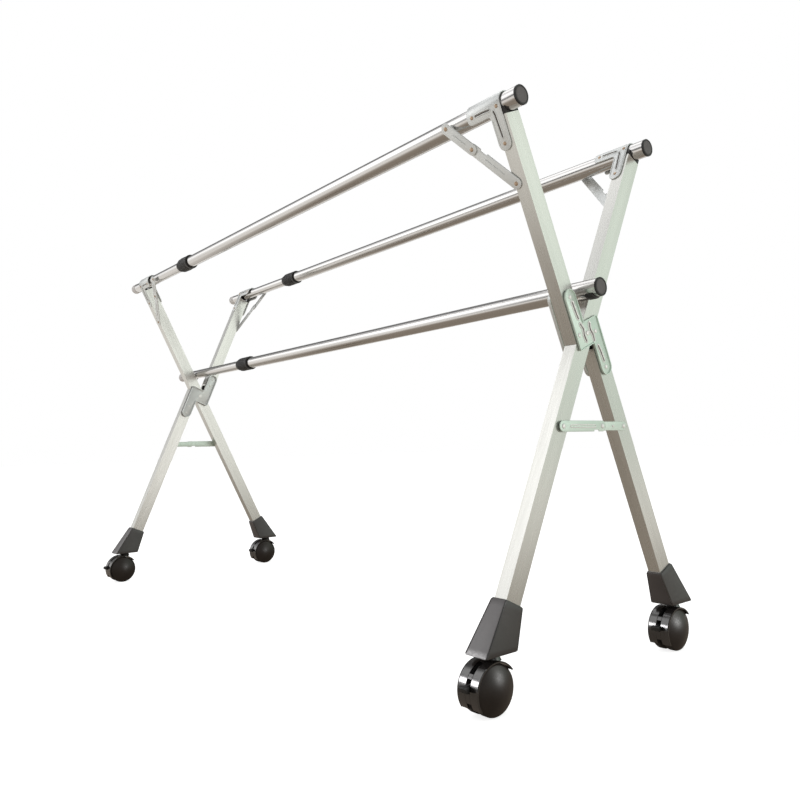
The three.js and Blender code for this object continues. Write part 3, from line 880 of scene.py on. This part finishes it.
def build_lower_stay(end):
    drop = PIVOT_Z - LOWER_STAY_Z
    straight_y = -drop * math.tan(STRAIGHT_TILT)
    split_y = drop * math.tan(SPLIT_TILT) + LOWER_OFFSET / math.cos(SPLIT_TILT)
    middle_y = split_y - 67
    place = end_place(end)
    short_x = OUTER_PLATE_X
    long_x = short_x + STAY_STEP
    short_body, long_body = f"{end}_stay_short", f"{end}_stay_long"
    outline = strip_outline((middle_y, -drop), (split_y, -drop), 8)
    short = new_object(f"{end}_lower_short", prism(outline, short_x, short_x + SHEET), place, GREEN_LIT_PLATE)
    round_edges(short, 0.6, 3)
    put(short, short_body, "plate", f"{end}_lower_stay_short_link")
    outline = strip_outline((middle_y, -drop), (straight_y, -drop), 9.5, (0.16, 7, 3.0))
    long = new_object(f"{end}_lower_long", prism(outline, long_x, long_x + SHEET), place, GREEN_LIT_PLATE)
    round_edges(long, 0.6, 3)
    put(long, long_body, "plate", f"{end}_lower_stay_long_link")
    out = (1, 0, 0)
    rivets(f"{end}_lower_short_rivet", [((short_x + SHEET, split_y, -drop), out)], short_body, place, 2, 4.4)
    spots = [((long_x + SHEET, y, -drop), out) for y in (middle_y, straight_y)]
    rivets(f"{end}_lower_long_rivets", spots, long_body, place, 2, 4.4)
    path = [(straight_y + 20, -drop), (straight_y + 44, -drop), (middle_y - 22, -drop)]
    # The stay's ridge takes the near-white steel: a painted highlight along it.
    ridge = new_object(f"{end}_lower_long_rib", slot_ridge(path, long_x + SHEET, 2.2, 1.1), place, RIVET_AND_RIDGE_HIGHLIGHT)
    put(ridge, long_body, "plate")
    hole = bead([(short_x + SHEET, split_y - 34, -drop), (short_x + SHEET, split_y - 32, -drop)], 2.0)
    stud = new_object(f"{end}_lower_short_stud", hole, place, RIVET_AND_RIDGE_HIGHLIGHT)
    put(stud, short_body, "plate")


# ---- boots ----

def rounded_rectangle(half_x, half_y, radius, steps=5):
    points = []
    for sx, sy, start in ((1, 1, 0), (-1, 1, 90), (-1, -1, 180), (1, -1, 270)):
        points += arc(sx * (half_x - radius), sy * (half_y - radius), radius, start, start + 90, steps)
    return points


def build_boot(end, side):
    label = f"{end}_{ENDS[end]['names'][side]}"
    straight = side < 0
    body = ENDS[end]["straight" if straight else "split"]
    tilt = -STRAIGHT_TILT if straight else SPLIT_TILT
    offset = 0.0 if straight else LOWER_OFFSET
    along = (PIVOT_Z - BOOT_TOP + offset * math.sin(tilt)) / math.cos(tilt)
    top_frame = Matrix.Rotation(tilt, 4, "X") @ Matrix.Translation((0, offset, -along))
    bottom_frame = Matrix.Translation((0, side * FOOT_Y, BOOT_BOTTOM + 0.3 - PIVOT_Z))

    def ring(share, shrink=0.0, lift=0.0):
        """Ring between the level bottom and the leg-square top."""
        low_ring = rounded_rectangle(*(half - shrink for half in BOOT_HALF), BOOT_CORNER)
        top_ring = rounded_rectangle(*(half - shrink for half in BOOT_TOP_HALF), BOOT_CORNER)
        out = []
        for (lu, lv), (tu, tv) in zip(low_ring, top_ring):
            low_point = bottom_frame @ Vector((lu, lv, 0))
            top_point = top_frame @ Vector((tu, tv, 0))
            up = (top_point - low_point).normalized()
            out.append(low_point.lerp(top_point, share) + up * lift)
        return out

    rings = [ring(0, 1.2), ring(0, 0.35, 0.35), ring(0, 0.0, 1.2)]
    rings += [ring(k / 8) for k in range(1, 8)]
    rings += [ring(1, 0.0, -1.2), ring(1, 0.35, -0.35), ring(1, 1.2)]
    lip = rounded_rectangle(LEG_DEPTH / 2 + 0.35, LEG_WIDTH / 2 + 0.35, 1.4)
    rings.append([top_frame @ Vector((u, v, 0.0)) for u, v in lip])
    rings.append([top_frame @ Vector((u, v, -12.0)) for u, v in lip])
    shell = new_object(f"{label}_foot_boot", loft(rings), end_place(end), BOOT, 28)
    put(shell, body, "black_plastic", f"{label}_boot")
    corners = []
    for sx in (-1, 1):
        for sy in (-1, 1):
            low, top = (at @ Vector((sx * (half[0] - CORNER_INSET), sy * (half[1] - CORNER_INSET), 0))
                        for at, half in ((bottom_frame, BOOT_HALF), (top_frame, BOOT_TOP_HALF)))
            corners.append(bead([low.lerp(top, 0.03), low.lerp(top, 0.97)], 0.85, 8))
    put(new_object(f"{label}_foot_corners", merged(corners), end_place(end), GLOSS), body, "black_plastic")


# ---- casters ----

def ring_sweep(section, start, end, steps=48):
    """Sweeps an (x, radius) section round the X axis. Angles run from +Y over +Z, in degrees."""
    rings = []
    for i in range(steps + 1):
        a = math.radians(start + (end - start) * i / steps)
        rings.append([(x, r * math.cos(a), r * math.sin(a)) for x, r in section])
    return loft(rings)


HOOD_R = 42.5
HOOD_IN = 40.2
HOOD_HALF = 21.0


def hood_section(low_x, high_x):
    return [(low_x, HOOD_IN), (low_x, HOOD_R - 0.5), (low_x + 0.5, HOOD_R), (high_x - 0.5, HOOD_R),
            (high_x, HOOD_R - 0.5), (high_x, HOOD_IN)]


def build_caster(end, side):
    label = f"{end}_{ENDS[end]['names'][side]}_caster"
    place = caster_place(end, side)
    axle = Matrix.Translation((0, -TRAIL, WHEEL_R))
    front, back = 38.0, 213.0
    parts = [moved(ring_sweep(hood_section(4.6, HOOD_HALF), front, back), axle),
             moved(ring_sweep(hood_section(-HOOD_HALF, -4.6), front, back), axle)]
    for low, high in ((front, 104.0), (140.0, 150.0), (178.0, 199.0)):
        parts.append(moved(ring_sweep(hood_section(-4.6, 4.6), low, high, 16), axle))
    for sign in (-1, 1):
        x = sign * HOOD_HALF
        rim = [(x - sign * 1.2, HOOD_IN), (x - sign * 1.2, HOOD_R + 0.2), (x + sign * 0.6, HOOD_R - 0.2),
               (x + sign * 0.6, HOOD_IN)]
        parts.append(moved(ring_sweep(rim, front - 1, back + 1), axle))
    parts.append(moved(lathe([(-4, 0), (-4, 30), (-3.4, 30.6), (3.4, 30.6), (4, 30), (4, 0)]), axle))
    parts.append(moved(lathe([(-20, 0), (-20, 3.8), (20, 3.8), (20, 0)], 24), axle))
    top = BOOT_BOTTOM - 0.4
    neck = [(WHEEL_R + 41, 0), (WHEEL_R + 38, 10.0), (WHEEL_R + 40, 15.5), (WHEEL_R + 43.0, 13.6),
            (top - 1.2, 13), (top, 12.2), (top, 5), (121.5, 5), (122, 4.4), (122, 0)]
    parts.append(lathe(neck, 40, "Z"))
    hood = new_object(f"{label}_shell", merged(parts), place, GLOSS, 30)
    put(hood, label, "gloss_black", f"{label}_hood")

    for letter, sign in (("a", 1), ("b", -1)):
        mirror = Matrix.Scale(sign, 4, (1, 0, 0))
        tread = [(4.8, 4.4), (4.8, 37.6), (5.6, 38.8), (6.6, WHEEL_R), (15.2, WHEEL_R), (16.4, 38.6),
                 (16.9, 37.4), (16.9, 34.5), (16.9, 30), (16.9, 4.4)]
        tyre = new_object(f"{label}_tyre_{letter}", moved(moved(lathe(tread), mirror), axle), place, TYRE)
        put(tyre, f"{label}_wheel_{letter}", "gloss_black", f"{label}_wheel_{letter}")
        cover = [(16.8, 0), (16.8, 37.4), (17.4, 37.9)]
        cover += [(COVER_CROWN - COVER_CURVE * r * r, r)
                  for r in (37.7, 35.5, 32, 28, 24, 20, 16, 12, 8, 4, 1.5)]
        cover += [(COVER_CROWN, 0)]
        dome = new_object(f"{label}_cover_{letter}", moved(moved(lathe(cover), mirror), axle), place,
                          DOME, 50)
        put(dome, f"{label}_wheel_{letter}", "gloss_black")

    hinge = Vector((0, -31 - TRAIL, 11 + WHEEL_R))
    outline = [(0, 3.0), (-6, 3.0), (-12, 2.6), (-20.5, 1.4), (-22, -0.2), (-21.6, -2.4), (-14, -2.6),
               (-12, -1.6), (-6, -2.2), (0, -3.0)] + arc(0, 0, 3.0, -80, 80, 8)
    arm = prism(outline, -3.3, 3.3)
    outline = [(-14.6, 1.8), (-20.2, 1.2), (-21.9, -0.6), (-21.6, -6.4), (-20.4, -7.0), (-14.6, -7.0)]
    pad = prism(outline, -8.3, 8.3)
    lever = new_object(f"{label}_pedal", moved(merged([arm, pad]), Matrix.Translation(hinge)), place, BLACK)
    round_edges(lever, 0.6, 2)
    put(lever, f"{label}_lever", "black_plastic", f"{label}_brake_lever")


# ---- studio ----

def lobe(tree, direction, colour, low, high):
    """Light from one side of the studio, soft-edged."""
    coords = node(tree, "ShaderNodeTexCoord")
    dot = node(tree, "ShaderNodeVectorMath", operation="DOT_PRODUCT")
    dot.inputs[1].default_value = Vector(direction).normalized()
    tree.links.new(coords.outputs["Generated"], dot.inputs[0])
    fall = node(tree, "ShaderNodeMapRange", interpolation_type="SMOOTHSTEP")
    fall.inputs["From Min"].default_value = low
    fall.inputs["From Max"].default_value = high
    tree.links.new(dot.outputs["Value"], fall.inputs["Value"])
    scale = node(tree, "ShaderNodeVectorMath", operation="SCALE")
    scale.inputs[0].default_value = colour
    tree.links.new(fall.outputs["Result"], scale.inputs["Scale"])
    return scale.outputs["Vector"]


# Direction, colour, and the cosines where each lobe starts and is full
STUDIO_BASE = (0.17, 0.17, 0.17)
STUDIO_LOBES = (
    ((-0.66, -0.50, 0.56), (0.90, 0.90, 0.91), 0.86, 0.985),
    ((-0.84, -0.52, 0.14), (0.95, 0.94, 0.92), 0.92, 0.99),
    ((0.62, 0.78, 0.0), (0.22, 0.35, 0.26), 0.55, 0.98),
    ((0.66, 0.68, 0.36), (0.62, 0.60, 0.58), 0.88, 0.99),
    ((0.0, 0.0, 1.0), (0.16, 0.16, 0.16), 0.4, 1.0),
    ((0.75, -0.62, 0.15), (0.40, 0.39, 0.38), 0.6, 0.98),
    ((0.90, 0.42, 0.0), (0.44, 0.39, 0.41), 0.88, 0.99),
)
FLOOR_REACH = 30.0
FLOOR_NEAR = 0.8
FLOOR_FAR = 3.2


def seen_directly(tree, seen, other, target):
    """Gives the target one colour where the camera sees it and another in light and reflections."""
    path = node(tree, "ShaderNodeLightPath")
    mix = node(tree, "ShaderNodeMixRGB")
    tree.links.new(path.outputs["Is Camera Ray"], mix.inputs["Fac"])
    mix.inputs["Color2"].default_value = seen
    if isinstance(other, tuple):
        mix.inputs["Color1"].default_value = other
    else:
        tree.links.new(other, mix.inputs["Color1"])
    tree.links.new(mix.outputs["Color"], target)


def build_world():
    """White to the camera; soft lobes of light to everything else."""
    world = bpy.data.worlds.new("studio")
    bpy.context.scene.world = world
    world.use_nodes = True
    tree = world.node_tree
    last = node(tree, "ShaderNodeVectorMath", operation="ADD")
    last.inputs[0].default_value = STUDIO_BASE
    for direction, colour, low, high in STUDIO_LOBES:
        part = lobe(tree, direction, colour, low, high)
        tree.links.new(part, last.inputs[1])
        following = node(tree, "ShaderNodeVectorMath", operation="ADD")
        tree.links.new(last.outputs["Vector"], following.inputs[0])
        last = following
    seen_directly(tree, (1, 1, 1, 1), last.outputs["Vector"], tree.nodes["Background"].inputs["Color"])


def floor_material():
    """Plain and pale to the camera; to other rays it glows, darker under the rack than further off as a
    painted shadow.
    """
    mat = bpy.data.materials.new("floor")
    mat.use_nodes = True
    tree = mat.node_tree
    shader = tree.nodes["Principled BSDF"]
    shader.inputs["Roughness"].default_value = 0.9
    shader.inputs["Specular IOR Level"].default_value = 0.1
    shader.inputs["Emission Strength"].default_value = 1.0
    pale = (0.8, 0.8, 0.8, 1)
    seen_directly(tree, pale, (0.30, 0.27, 0.235, 1), shader.inputs["Base Color"])
    coords = node(tree, "ShaderNodeTexCoord")
    away = node(tree, "ShaderNodeVectorMath", operation="LENGTH")
    tree.links.new(coords.outputs["Object"], away.inputs[0])
    fade = node(tree, "ShaderNodeMapRange", interpolation_type="SMOOTHSTEP")
    fade.inputs["From Min"].default_value = FLOOR_NEAR
    fade.inputs["From Max"].default_value = FLOOR_FAR
    tree.links.new(away.outputs["Value"], fade.inputs["Value"])
    # The floor's glow to other rays, dim near the rack: a painted shadow under it.
    sheen = node(tree, "ShaderNodeMixRGB")
    sheen.inputs["Color1"].default_value = (0.125, 0.095, 0.07, 1)
    sheen.inputs["Color2"].default_value = (0.80, 0.78, 0.75, 1)
    tree.links.new(fade.outputs["Result"], sheen.inputs["Fac"])
    seen_directly(tree, pale, sheen.outputs["Color"], shader.inputs["Emission Color"])
    return mat


def build_floor():
    mesh = bpy.data.meshes.new("floor")
    corners = [(x * FLOOR_REACH, y * FLOOR_REACH, 0) for x, y in ((-1, -1), (1, -1), (1, 1), (-1, 1))]
    mesh.from_pydata(corners, [], [(0, 1, 2, 3)])
    mesh.materials.append(floor_material())
    floor = bpy.data.objects.new("floor", mesh)
    bpy.context.scene.collection.objects.link(floor)


def area_light(name, position, target, size, energy, colour):
    data = bpy.data.lights.new(name, "AREA")
    data.shape = "RECTANGLE"
    data.size, data.size_y = size
    data.energy = energy
    data.color = colour
    lamp = bpy.data.objects.new(name, data)
    lamp.location = position
    aim = Vector(target) - Vector(position)
    lamp.rotation_euler = aim.to_track_quat("-Z", "Y").to_euler()
    bpy.context.scene.collection.objects.link(lamp)
    return lamp


WARM_WHITE = (1.0, 0.99, 0.97)

# Name, place, target, size, power, colour, then the name endings and beginning of what it is kept to
LIGHTS = (
    ("key", (-1.2, -1.66, 2.3), (0.8, 0, 0.4), (1.7, 1.3), 4.5, WARM_WHITE, None, ""),
    ("top", (0.0, 0.4, 4.2), (0, 0, 0), (4.0, 2.5), 38, (1, 1, 1), None, ""),
    ("right", (3.4, 1.7, 1.7), (0.83, 0, 0.8), (0.8, 1.2), 3, WARM_WHITE, None, ""),
    ("feet", (-1.89, -2.89, 1.25), (0.8, -0.2, 0.1), (1.6, 0.9), 76, (1.0, 0.985, 1.0),
     ("_foot_boot", "_shell"), ""),
    ("dome", (2.70, 1.51, 0.34), (0.83, -0.26, 0.04), (0.5, 0.5), 20, (1, 1, 1),
     ("_cover_a", "_cover_b"), ""),
    ("crossing", (3.2, 1.2, 0.5), (0.83, 0, 0.6), (1.0, 1.0), 6, (0.95, 1.0, 0.97),
     ("_crossing_outer", "_crossing_outer_ribs", "_crossing_outer_rim", "_outer_rivets", "_crossing_pin",
      "_lower_short", "_lower_long", "_long_rib", "_short_rivet", "_long_rivets", "_short_stud"), ""),
    ("far_frame", (2.0, 0.75, 0.40), (-0.77, 0, 0.25), (1.2, 1.0), 2.4, (1.0, 0.93, 0.95),
     ("_leg", "_leg_upper", "_leg_lower"), "far_"),
    ("near_legs", (-1.4, -2.3, 0.4), (0.8, 0, 0.35), (1.4, 1.0), 8, (1.0, 0.95, 0.88),
     ("_leg_lower", "_straight_leg"), "near_"),
)


def build_lights():
    for name, position, target, size, energy, colour, endings, start in LIGHTS:
        lamp = area_light(name, position, target, size, energy, colour)
        if endings:
            shine_only_on(lamp, endings, start)


def shine_only_on(lamp, endings, start):
    """Keeps a small accent light on the pieces whose names begin and end so."""
    group = bpy.data.collections.new(lamp.name + "_pieces")
    for obj in bpy.context.scene.objects:
        if obj.name.startswith(start) and obj.name.endswith(endings):
            group.objects.link(obj)
    lamp.light_linking.receiver_collection = group


CAMERA_PLACE = (1.6328, -1.0541, 0.4024)
CAMERA_ANGLES = (39.43, 3.607, -1.504)
CAMERA_LENS = 33.13
CAMERA_SENSOR = 36.0


def build_camera():
    yaw, pitch, roll = (math.radians(angle) for angle in CAMERA_ANGLES)
    forward = Vector((-math.cos(yaw) * math.cos(pitch), math.sin(yaw) * math.cos(pitch), math.sin(pitch)))
    right = forward.cross(Vector((0, 0, 1))).normalized()
    up = right.cross(forward)
    right_rolled = math.cos(roll) * right + math.sin(roll) * up
    up_rolled = -math.sin(roll) * right + math.cos(roll) * up
    turn = Matrix((right_rolled, up_rolled, -forward)).transposed().to_4x4()
    data = bpy.data.cameras.new("camera")
    data.sensor_width = CAMERA_SENSOR
    data.lens = CAMERA_LENS
    camera = bpy.data.objects.new("camera", data)
    camera.matrix_world = Matrix.Translation(CAMERA_PLACE) @ turn
    bpy.context.scene.collection.objects.link(camera)
    bpy.context.scene.camera = camera


# ---- build ----

build_camera()
build_world()
build_floor()
bpy.context.scene.view_settings.view_transform = "Standard"

for end_name in ENDS:
    dress_legs(end_name)
    build_cross(end_name)
    build_lower_stay(end_name)
    for local_side in (-1, 1):
        leg_saddle(end_name, local_side)
        build_saddle(end_name, local_side)
        build_diagonal(end_name, local_side)
        build_boot(end_name, local_side)
        build_caster(end_name, local_side)

build_rail("front", -RAIL_Y, RAIL_Z, TOP_RAIL_SPAN, "near_front_frame", "far_front_frame", "front_sleeve")
build_rail("back", RAIL_Y, RAIL_Z, TOP_RAIL_SPAN, "near_back_frame", "far_back_frame", "back_sleeve")
build_rail("middle", 0, MIDDLE_Z, MIDDLE_RAIL_SPAN, "middle_outer", "middle_inner", "middle_sleeve")
build_seat("near_rail_seat", OUTER_R, NEAR_X + SEAT_OUT, "middle_outer", "near_middle_rail_seat")
build_seat("far_rail_seat", INNER_R, FAR_X - SEAT_OUT - SEAT_LENGTH, "middle_inner", "far_middle_rail_seat")

build_lights()
